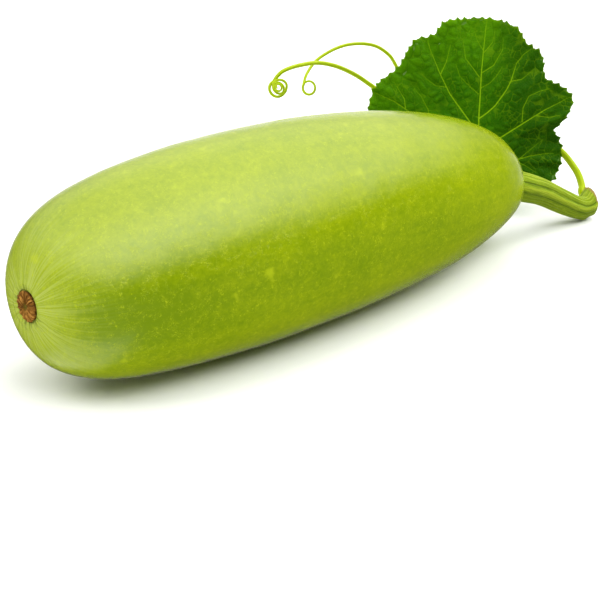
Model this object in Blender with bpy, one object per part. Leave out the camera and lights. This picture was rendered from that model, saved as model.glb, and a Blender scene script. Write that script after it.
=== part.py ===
"""Long bottle gourd as picked, lying on its belly, with its ribbed stem and what grows from the same node.

The fruit is one solid body. A corky scar sits in its blossom end and the stem on its other end. A leaf on its
stalk and a forked tendril grow from the far end of the stem. Lengths are in metres. X runs from the blossom
end to the stem end, Z is up, and the origin is on the surface under the middle of the fruit.
"""

import math

import bmesh
import bpy
import numpy as np

# Fruit: a turned body whose radius follows a blunted sine from one end to the other.
FRUIT_LENGTH = 0.3297
FRUIT_RADIUS = 0.0533
BLOSSOM_BLUNTNESS = 0.657
STEM_BLUNTNESS = 0.782
RADIUS_WAVES = (0.2072, 0.0444, 0.0216, 0.0032)
HEIGHT_TO_WIDTH = 1.036
AXIS_ARCH = 0.00884
AXIS_TILT = -0.00839
AXIS_SWEEP = 0.00878
STEM_END_SHIFT = (0.0024, -0.0077)
BELLY_FLATTENING = 0.0009
FRUIT_STATIONS = 28
FRUIT_SIDES = 40

# Blossom scar: a corky disc in a shallow round pocket.
SCAR_RADIUS = 0.0074
SCAR_PROUD = 0.0009
SCAR_SIDES = 30
POCKET_DEPTH = 0.0013

# Stem: a five-ribbed tube from the fruit to the cut node of the vine.
STEM_SEAT_RADIUS = 0.0095
STEM_RADII = (0.0092, 0.0087, 0.0081, 0.0077, 0.0073, 0.0067, 0.0065)
STEM_RIBS = 5
RIB_HEIGHT = 0.05
STEM_SIDES = 30
STEM_SPACING = 0.0026
NUB_HEIGHT = 0.0015
STEM_ROUTE = (
    (0.1725, 0.0066, 0.0292),
    (0.1860, 0.0041, 0.0237),
    (0.2010, 0.0009, 0.0154),
    (0.2090, -0.0010, 0.0111),
    (0.2155, -0.0020, 0.0084),
    (0.2206, -0.0024, 0.0081),
    (0.2240, -0.0022, 0.0092),
    (0.2262, -0.0018, 0.0108),
)
CUT_NORMAL = (0.985, -0.135, 0.10)

# Leaf frame: the blade faces the front left and leans back. Its own axes are right, up and forward, from the
# point where the stalk meets the blade.
LEAF_BASE = np.array((0.1788, 0.0479, 0.0390))
LEAF_TURN = math.radians(-41.4)
LEAF_LEAN = math.radians(23)
LEAF_THICKNESS = 0.0009
LEAF_SPOKES = 78
LEAF_RINGS = 6
# Outline of the blade: degrees from the midrib, clockwise, and millimetres from the base.
LEAF_OUTLINE = (
    (-172, 9), (-160, 32), (-142, 43), (-118, 50), (-100, 57), (-84, 63), (-67, 72), (-58, 73), (-42, 70.5),
    (-33, 75.5), (-27, 77.5), (-21, 75.5), (-18.5, 77), (-16, 80), (-7, 81.5), (8, 81.5), (18, 79), (24, 73),
    (34, 71), (41, 61.5), (47, 62.5), (54, 66), (61, 66.5), (65.5, 62), (69.5, 56), (73.5, 49), (79, 51),
    (88, 52), (108, 49.5), (126, 42), (145, 32.5), (160, 24), (172, 9),
)

# Stalk of the leaf and tendrils: routes in the leaf frame (right, up, forward), in millimetres.
STALK_RADII = ((0, 0.0022), (1, 0.0017))
STALK_SIDES = 10
STALK_SPACING = 0.003
STALK_ROUTE = (
    (63.7, -22.6, -10.3), (64.3, -20.6, -11.8), (64.0, -17.4, -13.6), (63.0, -13.2, -15.6),
    (60.8, -8.2, -18.1), (54.6, 0.9, -22.0), (46.7, 6.7, -24.0), (31.2, 10.6, -23.0), (15.2, 8.2, -17.0),
    (5.9, 4.2, -10.0), (0.9, 0.9, -4.5), (0.5, 0.4, -1.2),
)
TENDRIL_SIDES = 7
TENDRIL_SPACING = 0.0032
# Radii: share of the length from the base, and radius there.
LONG_TENDRIL_RADII = (
    (0, 0.0015), (0.30, 0.0015), (0.51, 0.00142), (0.68, 0.0013), (0.77, 0.00112), (0.80, 0.00085),
    (0.90, 0.00072), (1, 0.00055),
)
LONG_TENDRIL_ROUTE = (
    (62.5, -28.9, -11.3), (61.4, -28.8, -15.0), (59.5, -28.6, -18.6), (53.9, -26.8, -23.1),
    (44.4, -20.3, -29.1), (29.6, -6.9, -34.0), (5.0, 7.5, -36.0), (-26.3, 22.7, -33.0), (-45.1, 31.4, -27.9),
    (-61.5, 41.2, -19.9), (-72.9, 47.7, -11.9), (-84.8, 51.6, -1.9), (-96.4, 52.0, 10.1), (-107.7, 48.7, 22.1),
    (-115.8, 44.9, 29.2), (-119.8, 41.4, 30.6),
)
SHORT_TENDRIL_RADII = ((0, 0.0012), (0.50, 0.0011), (0.72, 0.00095), (0.85, 0.0008), (1, 0.00065))
SHORT_TENDRIL_ROUTE = (
    (-10.8, 18.7, -36.0), (-18.0, 22.7, -36.3), (-29.1, 31.5, -36.8), (-36.6, 39.2, -36.6),
    (-42.5, 47.8, -35.9), (-46.7, 55.6, -34.9), (-51.6, 62.9, -32.9), (-60.6, 68.0, -28.9),
    (-72.5, 68.5, -23.9), (-84.4, 64.9, -17.9), (-96.2, 57.0, -11.9), (-102.5, 47.8, -5.9),
)
# Coils: starting angle and slant of the long axis in degrees, then, by turns from the start, the centre in the
# leaf frame and the two half axes of the loop there, in millimetres.
LONG_COIL = (115, 128, (
    (0.00, (-120.0, 33.9, 30.6), (4.7, 4.3)), (0.45, (-120.0, 33.9, 31.2), (4.7, 4.3)),
    (0.75, (-118.3, 34.8, 32.4), (4.2, 4.1)), (1.05, (-118.2, 34.8, 33.6), (4.2, 4.1)),
    (1.35, (-119.0, 34.1, 34.6), (3.8, 3.0)), (2.15, (-119.0, 34.1, 36.4), (2.9, 2.4)),
    (2.65, (-119.1, 34.2, 37.5), (2.0, 1.7)), (3.40, (-119.1, 34.2, 39.1), (1.2, 1.0)),
))
SHORT_COIL = (158, 98, (
    (0.00, (-101.3, 38.5, -1.5), (4.0, 3.7)), (1.02, (-101.3, 38.5, 0.8), (3.9, 3.6)),
))
COIL_STEP = math.radians(24)

GAP = 0.0003  # between pieces that touch

GREEN_SKIN = (0.36, 0.56, 0.06)
STEM_GREEN = (0.27, 0.40, 0.08)
LEAF_GREEN = (0.05, 0.20, 0.01)
STALK_GREEN = (0.38, 0.55, 0.05)
CORK_BROWN = (0.22, 0.11, 0.04)


def clear_scene():
    for obj in list(bpy.data.objects):
        bpy.data.objects.remove(obj, do_unlink=True)


def add_piece(name, points, faces, colour, roughness):
    """One named object with its own material, shaded smooth except at its real edges."""
    mesh = bpy.data.meshes.new(name)
    mesh.from_pydata([tuple(p) for p in points], [], faces)
    mesh.validate()
    body = bmesh.new()
    body.from_mesh(mesh)
    bmesh.ops.recalc_face_normals(body, faces=body.faces)
    body.to_mesh(mesh)
    body.free()
    mesh.shade_smooth()
    mesh.set_sharp_from_angle(angle=math.radians(50))
    material = bpy.data.materials.new(name)
    material.use_nodes = True
    shader = material.node_tree.nodes["Principled BSDF"]
    shader.inputs["Base Color"].default_value = (*colour, 1.0)
    shader.inputs["Roughness"].default_value = roughness
    shader.inputs["Metallic"].default_value = 0.0
    mesh.materials.append(material)
    obj = bpy.data.objects.new(name, mesh)
    bpy.context.scene.collection.objects.link(obj)
    return obj


def loft(rings, first_cap, last_cap):
    """Points and faces of closed rings joined in order, with a point in the middle of each end."""
    sides = len(rings[0])
    points = [first_cap, *np.concatenate(rings), last_cap]
    last = len(points) - 1
    faces = []
    for i in range(sides):
        j = (i + 1) % sides
        faces.append((0, 1 + j, 1 + i))
        for ring in range(len(rings) - 1):
            a = 1 + ring * sides
            faces.append((a + i, a + j, a + sides + j, a + sides + i))
        a = last - sides
        faces.append((a + i, a + j, last))
    return points, faces


def smooth_path(route, spacing):
    """Even points on a Catmull-Rom curve through the route's own points."""
    route = np.array(route, float)
    ends = np.vstack([2 * route[0] - route[1], route, 2 * route[-1] - route[-2]])
    fine = []
    for a, b, c, d in zip(ends, ends[1:], ends[2:], ends[3:]):
        t = np.linspace(0, 1, 24, endpoint=False)[:, None]
        fine.append(0.5 * (2 * b + (c - a) * t + (2 * a - 5 * b + 4 * c - d) * t**2
                           + (3 * b - 3 * c + d - a) * t**3))
    fine = np.vstack([*fine, route[-1:]])
    run = np.concatenate([[0], np.cumsum(np.linalg.norm(np.diff(fine, axis=0), axis=1))])
    even = np.linspace(0, run[-1], max(2, round(run[-1] / spacing)) + 1)
    return np.stack([np.interp(even, run, fine[:, axis]) for axis in range(3)], axis=1)


def unit(vectors):
    return vectors / np.linalg.norm(vectors, axis=-1, keepdims=True)


def travelling_frames(directions):
    """A side and a top vector across each direction in turn, starting straight up and turning least."""
    side = np.array((0.0, 0.0, 1.0))
    sides = []
    for direction in directions:
        side = unit(side - (side @ direction) * direction)
        sides.append(side)
    return np.array(sides), np.cross(directions, sides)


def tube(path, radii, count):
    """A round tube along a path, whose radius follows (share of the length, radius) pairs."""
    run = np.concatenate([[0], np.cumsum(np.linalg.norm(np.diff(path, axis=0), axis=1))])
    shares, sizes = zip(*radii)
    radius_at = np.interp(run / run[-1], shares, sizes)
    sides, tops = travelling_frames(unit(np.gradient(path, axis=0)))
    angles = np.linspace(0, 2 * math.pi, count, endpoint=False)
    rings = []
    for place, side, top, radius in zip(path, sides, tops, radius_at):
        rings.append(place + radius * (np.outer(np.cos(angles), side) + np.outer(np.sin(angles), top)))
    return loft(rings, path[0], path[-1])


def leaf_axes():
    """Right, up and forward of the leaf frame, as world directions."""
    right = np.array((math.cos(LEAF_TURN), math.sin(LEAF_TURN), 0.0))
    level = np.array((math.sin(LEAF_TURN), -math.cos(LEAF_TURN), 0.0))
    forward = level * math.cos(LEAF_LEAN) + np.array((0, 0, math.sin(LEAF_LEAN)))
    return np.array((right, np.cross(forward, right), forward))


def from_leaf_frame(route):
    """World points of a route given in the leaf frame in millimetres."""
    return LEAF_BASE + np.array(route, float) / 1000 @ leaf_axes()


def fruit_radius(turn):
    """Radius of the fruit; turn runs from 0 at the blossom end to pi at the stem end."""
    share = (1 - np.cos(turn)) / 2
    bluntness = BLOSSOM_BLUNTNESS * (1 - share) + STEM_BLUNTNESS * share
    waves = 1 + sum(size * np.cos((n + 1) * turn) for n, size in enumerate(RADIUS_WAVES))
    return FRUIT_RADIUS * np.maximum(np.sin(turn), 0) ** bluntness * waves


def belly_depth(turn):
    """How far the skin lies below the middle line."""
    return fruit_radius(turn) * HEIGHT_TO_WIDTH


def middle_height(turn):
    """Height of the middle line above its two ends: it arches up, tilts down and drops close to the stem."""
    share = -np.cos(turn)
    return AXIS_ARCH * (1 - share**2) + AXIS_TILT * share / 2 + STEM_END_SHIFT[1] * np.maximum(share, 0) ** 14


def fruit_axis(turn):
    """Points on the middle line of the fruit, lifted so that the belly reaches a little below the surface."""
    share = -np.cos(turn)
    whole = np.linspace(0, math.pi, 721)
    lift = -np.min(middle_height(whole) - belly_depth(whole)) - BELLY_FLATTENING
    y = AXIS_SWEEP * share**2 + STEM_END_SHIFT[0] * np.maximum(share, 0) ** 14
    return np.stack([FRUIT_LENGTH / 2 * share, y, middle_height(turn) + lift], axis=-1)


def turn_at_radius(radius, from_stem):
    """Where along the fruit its radius has grown to this, counted from one of its ends."""
    turn = np.linspace(0, 0.6, 3001)
    grown = fruit_radius(math.pi - turn if from_stem else turn)
    found = float(np.interp(radius, grown, turn))
    return math.pi - found if from_stem else found


def upright_ring(centre, radius, count, lobes=0.0, height=1.0):
    """A ring across the X direction, with an optional share of five-fold waviness and of extra height."""
    angles = np.linspace(0, 2 * math.pi, count, endpoint=False)
    reach = radius * (1 + lobes * np.cos(5 * angles + 0.6))
    across = np.stack([np.zeros(count), reach * np.cos(angles), height * reach * np.sin(angles)], axis=1)
    return np.asarray(centre) + across


def blossom_seat():
    """Centre of the pocket's mouth, which the scar sits in."""
    return fruit_axis(np.array([turn_at_radius(SCAR_RADIUS + 3 * GAP, False)]))[0]


def stem_seat():
    """Centre of the flat that the stem grows from."""
    return fruit_axis(np.array([turn_at_radius(STEM_SEAT_RADIUS, True)]))[0]


def make_fruit():
    """The turned body, with the scar's pocket, the stem's seat, and the belly cut flat where it lies."""
    mouth = blossom_seat()
    inward = np.array((POCKET_DEPTH, 0, 0))
    first, last = turn_at_radius(SCAR_RADIUS + 3 * GAP, False), turn_at_radius(STEM_SEAT_RADIUS, True)
    turns = first + (last - first) * np.linspace(0, 1, FRUIT_STATIONS) ** 1.3
    rings = [upright_ring(mouth + inward, SCAR_RADIUS + 2 * GAP, FRUIT_SIDES)]
    for centre, radius in zip(fruit_axis(turns), fruit_radius(turns)):
        rings.append(upright_ring(centre, radius, FRUIT_SIDES, height=HEIGHT_TO_WIDTH))
    points, faces = loft(rings, mouth + inward, stem_seat())
    fruit = add_piece("fruit", points, faces, GREEN_SKIN, 0.4)
    body = bmesh.new()
    body.from_mesh(fruit.data)
    every = [*body.verts, *body.edges, *body.faces]
    cut = bmesh.ops.bisect_plane(body, geom=every, plane_co=(0, 0, 0), plane_no=(0, 0, 1), clear_inner=True)
    rim = [part for part in cut["geom_cut"] if isinstance(part, bmesh.types.BMEdge)]
    bmesh.ops.holes_fill(body, edges=rim, sides=0)
    bmesh.ops.recalc_face_normals(body, faces=body.faces)
    body.to_mesh(fruit.data)
    body.free()


def make_blossom_scar():
    """A domed corky disc with a lobed edge, standing a little proud of its pocket."""
    back = blossom_seat() + np.array((POCKET_DEPTH - GAP, 0, 0))
    front = blossom_seat() - np.array((SCAR_PROUD, 0, 0))
    low_edge = front + np.array((0.4 * SCAR_PROUD, 0, 0))
    rings = [
        upright_ring(front, 0.45 * SCAR_RADIUS, SCAR_SIDES, 0.03),
        upright_ring(low_edge, 0.93 * SCAR_RADIUS, SCAR_SIDES, 0.03),
        upright_ring(back, 0.96 * SCAR_RADIUS, SCAR_SIDES, 0.03),
    ]
    points, faces = loft(rings, front + np.array((0.0003, 0, 0)), back)
    add_piece("blossom_scar", points, faces, CORK_BROWN, 0.9)


def make_stem():
    """The ribbed stem: widest on the fruit, bent down and then up, and cut across at the vine's node."""
    seat = stem_seat() + np.array((GAP, 0, 0))
    path = smooth_path((tuple(seat), *STEM_ROUTE), STEM_SPACING)
    run = np.linspace(0, 1, len(path))
    eased = np.clip(run / 0.25, 0, 1)[:, None]
    along = unit(eased * unit(np.gradient(path, axis=0)) + (1 - eased) * np.array((1.0, 0.0, 0.0)))
    sides, tops = travelling_frames(along)
    angles = np.linspace(0, 2 * math.pi, STEM_SIDES, endpoint=False)
    radii = np.interp(run, np.linspace(0, 1, len(STEM_RADII)), STEM_RADII)
    lowest = int(np.argmin(path[:, 2] - radii))
    ribs = 1 + RIB_HEIGHT * np.cos(STEM_RIBS * angles + 0.6)
    rings = []
    for n, (place, side, top, radius) in enumerate(zip(path, sides, tops, radii)):
        spokes = np.outer(np.cos(angles), side) + np.outer(np.sin(angles), top)
        nub = NUB_HEIGHT * np.clip(-spokes[:, 2], 0, 1) ** 12 * math.exp(-(((n - lowest) / 1.1) ** 2))
        ring = place + (radius * ribs + nub)[:, None] * spokes
        ring[:, 2] = np.maximum(ring[:, 2], GAP)
        rings.append(ring)
    cut = np.array(CUT_NORMAL)
    slide = ((path[-1] - rings[-1]) @ cut) / (along[-1] @ cut)
    rings[-1] = rings[-1] + slide[:, None] * along[-1]
    points, faces = loft(rings, path[0], path[-1])
    add_piece("stem", points, faces, STEM_GREEN, 0.55)


def leaf_reach(angle):
    """Distance from the base to the blade's edge, in metres: a smooth closed curve through the outline."""
    outline = np.array(LEAF_OUTLINE, float)
    degrees = np.concatenate([outline[:, 0] - 360, outline[:, 0], outline[:, 0] + 360])
    reach = np.tile(outline[:, 1], 3)
    slope = np.gradient(reach, degrees)
    at = np.degrees(angle)
    k = np.clip(np.searchsorted(degrees, at) - 1, 0, len(degrees) - 2)
    span = degrees[k + 1] - degrees[k]
    t = (at - degrees[k]) / span
    rise = reach[k] * (2 * t**3 - 3 * t**2 + 1) + reach[k + 1] * (3 * t**2 - 2 * t**3)
    bend = span * (slope[k] * (t**3 - 2 * t**2 + t) + slope[k + 1] * (t**3 - t**2))
    return (rise + bend) / 1000


def leaf_relief(right, up):
    """How far the blade stands forward: its left side comes forward, its tip and lower lobes curl back."""
    lift = 0.010 * np.clip(-right / 0.065, 0, 1.2) ** 1.6
    curl = -0.006 * np.clip(up / 0.08, 0, 1.2) ** 2 - 0.004 * np.clip(-up / 0.04, 0, 1.2) ** 2
    roll = -0.004 * np.clip(right / 0.06, 0, 1.2) ** 2
    return lift + curl + roll


def make_leaf_blade():
    """The lobed blade: a thin curved sheet, closed round its edge."""
    angles = np.radians(np.linspace(-180, 180, LEAF_SPOKES, endpoint=False) + 360 / LEAF_SPOKES / 2)
    reach = leaf_reach(angles)
    axes = leaf_axes()
    shares = np.linspace(1, 0, LEAF_RINGS, endpoint=False)[::-1]

    def sheet_ring(share, offset):
        right = share * reach * np.sin(angles)
        up = share * reach * np.cos(angles)
        local = np.stack([right, up, leaf_relief(right, up) + offset], axis=1)
        return LEAF_BASE + local @ axes

    half = LEAF_THICKNESS / 2
    rings = [sheet_ring(share, half) for share in shares]
    rings += [sheet_ring(share, -half) for share in shares[::-1]]
    front, back = LEAF_BASE + half * axes[2], LEAF_BASE - half * axes[2]
    points, faces = loft(rings, front, back)
    add_piece("leaf_blade", points, faces, LEAF_GREEN, 0.5)


def make_leaf_stalk():
    """The smooth stalk from the node to the back of the blade."""
    path = smooth_path(from_leaf_frame(STALK_ROUTE), STALK_SPACING)
    points, faces = tube(path, STALK_RADII, STALK_SIDES)
    add_piece("leaf_stalk", points, faces, STALK_GREEN, 0.45)


def coil_route(start, slant, rows):
    """Route points of a loose coil: ellipses whose centre and half axes change as it winds from row to row."""
    turns, centres, axes = (np.array(column, float) for column in zip(*rows))
    angle = np.arange(0, turns[-1] * 2 * math.pi, COIL_STEP)
    at = angle / (2 * math.pi)
    centre = np.stack([np.interp(at, turns, centres[:, axis]) for axis in range(3)], axis=1)
    along, across = (np.interp(at, turns, axes[:, axis])[:, None] for axis in range(2))
    turned = (math.radians(start - slant) + angle)[:, None]
    slant = math.radians(slant)
    long_way = np.array((math.cos(slant), math.sin(slant), 0))
    short_way = np.array((-math.sin(slant), math.cos(slant), 0))
    return centre + along * np.cos(turned) * long_way + across * np.sin(turned) * short_way


def make_tendril(name, route, coil, radii):
    """A tapering tendril that ends in its own coil, with closer points round the coil than on the arch."""
    arch = smooth_path(from_leaf_frame([*route, coil_route(*coil)[0]]), TENDRIL_SPACING)
    winding = from_leaf_frame(coil_route(*coil)[1:])
    path = np.vstack([arch, winding])
    points, faces = tube(path, radii, TENDRIL_SIDES)
    add_piece(name, points, faces, STALK_GREEN, 0.45)


def main():
    clear_scene()
    make_fruit()
    make_blossom_scar()
    make_stem()
    make_leaf_blade()
    make_leaf_stalk()
    make_tendril("long_tendril", LONG_TENDRIL_ROUTE, LONG_COIL, LONG_TENDRIL_RADII)
    make_tendril("short_tendril", SHORT_TENDRIL_ROUTE, SHORT_COIL, SHORT_TENDRIL_RADII)


main()
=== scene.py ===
"""Finished surfaces for a long bottle gourd lying on its belly: skin, scar, stem, leaf, leaf stalk and tendrils.

Lengths are in metres. X runs from the blossom end of the fruit to its stem end, and Z is up.
"""

import math

import bpy
import numpy as np
from bpy.props import FloatProperty, FloatVectorProperty, IntProperty, PointerProperty
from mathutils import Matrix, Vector


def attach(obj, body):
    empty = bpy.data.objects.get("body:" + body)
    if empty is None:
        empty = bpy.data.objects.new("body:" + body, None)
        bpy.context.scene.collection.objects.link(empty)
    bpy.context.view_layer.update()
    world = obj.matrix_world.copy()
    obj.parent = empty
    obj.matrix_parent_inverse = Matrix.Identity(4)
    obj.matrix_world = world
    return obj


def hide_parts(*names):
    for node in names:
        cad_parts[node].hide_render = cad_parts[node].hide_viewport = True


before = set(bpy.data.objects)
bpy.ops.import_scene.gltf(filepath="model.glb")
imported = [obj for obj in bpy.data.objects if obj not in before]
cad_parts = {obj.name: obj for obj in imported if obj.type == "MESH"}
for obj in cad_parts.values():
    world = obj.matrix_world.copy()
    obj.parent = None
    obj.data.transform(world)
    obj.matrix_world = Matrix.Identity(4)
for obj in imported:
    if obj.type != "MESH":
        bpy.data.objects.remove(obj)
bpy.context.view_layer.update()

bl_info = {
    "name": "Bottle Gourd",
    "version": (1, 0, 0),
    "blender": (4, 5, 0),
    "location": "3D View > Sidebar > Gourd",
    "description": "Builds the skin, scar, stem, leaf and tendrils of a long bottle gourd",
    "category": "Add Mesh",
}

BODY = "root"
GAP = 0.0003  # between pieces that touch

# Fruit: a turned body whose radius follows a blunted sine from one end to the other.
BLOSSOM_BLUNTNESS, STEM_BLUNTNESS = 0.657, 0.782
RADIUS_WAVES = (0.2072, 0.0444, 0.0216, 0.0032)
HEIGHT_TO_WIDTH = 1.036
AXIS_ARCH, AXIS_TILT, AXIS_SWEEP = 0.00884, -0.00839, 0.00878
STEM_END_SHIFT = (0.0024, -0.0077)
BELLY_FLATTENING = 0.0009
POCKET_DEPTH = 0.0013
STEM_SEAT_RADIUS = 0.0095
# Painted shade on the front flank, where little light falls: its middle and half width round the fruit, in radians,
# and where along the skin it is deepest.
SHADED_FLANK_MIDDLE, SHADED_FLANK_WIDTH, SHADED_FLANK_DEEPEST = math.radians(183), 0.46, 0.05
# Folds that run into the scar: degrees round it, strength, and how far each reaches in millimetres.
SCAR_CREASES = (
    (200, 1.0, 30), (209, 0.8, 26), (219, 0.7, 24), (232, 0.5, 18), (252, 0.8, 20), (262, 0.7, 17), (120, 0.6, 22),
    (138, 0.4, 18), (96, 0.5, 17), (82, 0.7, 20), (66, 0.6, 16), (44, 0.6, 15), (10, 0.5, 13), (340, 0.6, 15),
    (300, 0.6, 16), (282, 0.7, 15),
)
WEAK_CREASES = 26
# Scar: shares of its profile where the dome ends and the straight side ends, and the dip at its middle.
DOME_END, SIDE_END = 0.72, 0.86
SCAR_DIP = 0.0004

# Stem: radii and route from the fruit to the cut node of the vine.
STEM_RADII = (0.0092, 0.0087, 0.0081, 0.0077, 0.0073, 0.0067, 0.0065)
STEM_ROUTE = (
    (0.1725, 0.0066, 0.0292), (0.1860, 0.0041, 0.0237), (0.2010, 0.0009, 0.0154), (0.2090, -0.0010, 0.0111),
    (0.2155, -0.0020, 0.0084), (0.2206, -0.0024, 0.0081), (0.2240, -0.0022, 0.0092), (0.2262, -0.0018, 0.0108),
)
CUT_NORMAL = (0.985, -0.135, 0.10)
NUB_HEIGHT = 0.0015
# Ribs round the stem: degrees from the top towards the front, and height as a share of the tallest. The heights also
# set the colour: low ones paint shade into the grooves, and those from 117 to 153 degrees are kept low to paint shade
# on the stem's lower front side.
STEM_RIBS_AND_SHADE = (
    (0, 0.55), (7, 0.25), (14, 0.70), (21, 0.35), (28, 0.80), (35, 0.05), (43, 0.60), (51, 0.20), (57, 0.05),
    (64, -0.95), (70, -0.35), (77, 0.60), (83, 1.0), (90, 0.50), (97, 0.15), (104, -0.95), (110, -0.55), (117, 0.05),
    (124, -0.50), (131, 0.15), (138, -0.35), (145, 0.25), (153, -0.5), (164, 0.6), (178, -0.7), (188, -0.7),
    (201, 0.9), (214, 0.3), (231, -0.8), (247, 0.9), (262, 0.2), (278, -0.7), (292, 0.8), (307, -0.2), (321, 0.7),
    (336, -0.1), (349, 0.6),
)

# Leaf frame: right, up and forward of the blade, from the point where the stalk meets it.
LEAF_BASE = np.array((0.1788, 0.0479, 0.0390))
LEAF_TURN, LEAF_LEAN = math.radians(-41.4), math.radians(23)
# Outline of the blade: degrees from the midrib, clockwise, and millimetres from the base.
LEAF_OUTLINE = (
    (-172, 9), (-160, 32), (-142, 43), (-118, 50), (-100, 57), (-84, 63), (-67, 72), (-58, 73), (-42, 70.5),
    (-33, 75.5), (-27, 77.5), (-21, 75.5), (-18.5, 77), (-16, 80), (-7, 81.5), (8, 81.5), (18, 79), (24, 73),
    (34, 71), (41, 61.5), (47, 62.5), (54, 66), (61, 66.5), (65.5, 62), (69.5, 56), (73.5, 49), (79, 51),
    (88, 52), (108, 49.5), (126, 42), (145, 32.5), (160, 24), (172, 9),
)
# Veins: half width in millimetres where each starts, and its route (right, up) in millimetres.
LEAF_VEINS = (
    (1.00, ((0.0, 0.0), (0.5, 20.0), (1.5, 34.8), (2.2, 47.6), (3.6, 61.2), (5.1, 73.9), (6.0, 79.8))),
    (0.80, ((0.6, 20.0), (5.4, 23.4), (10.2, 27.6), (17.1, 37.2), (20.1, 42.9), (23.4, 53.4), (27.6, 58.8),
            (32.4, 62.4))),
    (0.50, ((20.1, 42.6), (26.4, 43.8), (32.4, 48.6))),
    (0.90, ((0.0, 0.0), (14.1, 9.0), (29.4, 18.6), (39.9, 25.2), (49.2, 30.0), (55.8, 33.6))),
    (0.50, ((26.4, 18.0), (27.0, 26.4), (30.6, 33.6), (37.2, 36.6), (43.8, 38.4))),
    (0.45, ((34.8, 21.9), (42.6, 21.0), (49.2, 22.2))),
    (0.80, ((0.0, 0.0), (11.4, -3.6), (24.6, -4.2), (31.8, -2.1), (43.2, 0.0), (46.8, 0.0))),
    (0.40, ((24.6, -4.2), (31.2, 1.2), (34.8, 4.2), (40.2, 8.4))),
    (0.40, ((20.4, -4.5), (28.2, -7.8), (35.4, -12.0))),
    (0.90, ((0.0, 0.0), (-4.8, 18.0), (-16.8, 34.8), (-22.8, 47.1), (-28.2, 60.8), (-30.0, 67.2))),
    (0.50, ((-19.2, 39.0), (-25.2, 39.6), (-30.6, 43.2), (-34.2, 46.8))),
    (0.50, ((-22.2, 47.1), (-18.9, 54.0), (-16.2, 64.8))),
    (0.90, ((0.0, 0.0), (-20.4, 12.6), (-42.0, 24.0), (-50.4, 29.4), (-61.8, 34.2), (-67.2, 36.0))),
    (0.50, ((-43.8, 25.8), (-44.4, 31.2), (-50.4, 41.1))),
    (0.45, ((-28.8, 17.4), (-30.0, 25.2), (-34.2, 33.0), (-38.4, 37.8))),
    (0.45, ((-35.4, 20.4), (-46.8, 19.8), (-57.0, 22.8))),
    (0.50, ((1.0, 45.0), (-3.6, 51.6), (-7.2, 56.4), (-8.7, 68.4))),
    (0.45, ((0.6, 34.8), (-6.6, 41.1), (-10.8, 45.6), (-13.2, 52.8))),
    (0.50, ((2.4, 47.6), (9.6, 52.2), (15.4, 62.0), (15.8, 69.3))),
    (0.40, ((2.2, 38.7), (7.2, 41.4), (11.4, 45.9), (15.0, 51.6))),
    (0.40, ((3.6, 61.2), (0.0, 67.2), (-1.8, 74.4))),
    (0.40, ((3.9, 60.0), (9.0, 66.0), (10.8, 73.2))),
    (0.80, ((0.0, 0.0), (-13.8, 1.2), (-28.8, 0.0), (-43.8, -3.6), (-51.6, -4.8))),
    (0.45, ((-22.8, 0.6), (-31.8, 7.2), (-44.4, 9.0))),
    (0.45, ((-28.8, 0.0), (-36.0, -6.0), (-39.6, -12.0))),
)
VEIN_EDGE = 0.28  # share of a vein's half width that counts as the vein itself
RISE_WIDTH, QUILT_WIDTH = 4.0, 1.1  # millimetres from a vein, and from the small net, in which the blade rises
LOBE_FOLD = 0.0060  # how far the lower right lobe folds back
NET_CELLS, NET_HALF_SIZE = 1500, (92, 92)  # number of cells of the small net, and half its size in millimetres
NET_BLOCK = 8000  # points measured at a time

# Stalk and tendrils: routes in the leaf frame (right, up, forward), in millimetres.
STALK_ROUTE = (
    (65.6, -27.6, -8.0), (64.3, -25.0, -9.3), (63.7, -22.6, -10.3), (64.3, -20.6, -11.8), (64.0, -17.4, -13.6),
    (63.0, -13.2, -15.6), (60.8, -8.2, -18.1), (54.6, 0.9, -22.0), (46.7, 6.7, -24.0), (31.2, 10.6, -23.0),
    (15.2, 8.2, -17.0), (5.9, 4.2, -10.0), (0.9, 0.9, -4.5), (0.5, 0.4, -1.2),
)
LONG_TENDRIL_ROUTE = (
    (62.5, -28.9, -11.3), (61.4, -28.8, -15.0), (59.5, -28.6, -18.6), (53.9, -26.8, -23.1), (44.4, -20.3, -29.1),
    (29.6, -6.9, -34.0), (5.0, 7.5, -36.0), (-26.3, 22.7, -33.0), (-45.1, 31.4, -27.9), (-61.5, 41.2, -19.9),
    (-72.9, 47.7, -11.9), (-84.8, 51.6, -1.9), (-96.4, 52.0, 10.1), (-107.7, 48.7, 22.1), (-115.8, 44.9, 29.2),
    (-119.8, 41.4, 30.6),
)
SHORT_TENDRIL_ROUTE = (
    (-10.8, 18.7, -36.0), (-18.0, 22.7, -36.3), (-29.1, 31.5, -36.8), (-36.6, 39.2, -36.6), (-42.5, 47.8, -35.9),
    (-46.7, 55.6, -34.9), (-51.6, 62.9, -32.9), (-60.6, 68.0, -28.9), (-72.5, 68.5, -23.9), (-84.4, 64.9, -17.9),
    (-96.2, 57.0, -11.9), (-102.5, 47.8, -5.9),
)
# Coils: starting angle and slant of the long axis in degrees, then, by turns from the start, the centre in the leaf
# frame and the two half axes of the loop there, in millimetres.
LONG_COIL = (115, 128, (
    (0.00, (-120.0, 33.9, 30.6), (4.7, 4.3)), (0.45, (-120.0, 33.9, 31.2), (4.7, 4.3)),
    (0.75, (-118.3, 34.8, 32.4), (4.2, 4.1)), (1.05, (-118.2, 34.8, 33.6), (4.2, 4.1)),
    (1.35, (-119.0, 34.1, 34.6), (3.8, 3.0)), (2.15, (-119.0, 34.1, 36.4), (2.9, 2.4)),
    (2.65, (-119.1, 34.2, 37.5), (2.0, 1.7)), (3.40, (-119.1, 34.2, 39.1), (1.2, 1.0)),
))
SHORT_COIL = (158, 98, ((0.00, (-101.3, 38.5, -1.5), (4.0, 3.7)), (1.02, (-101.3, 38.5, 0.8), (3.9, 3.6))))
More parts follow.
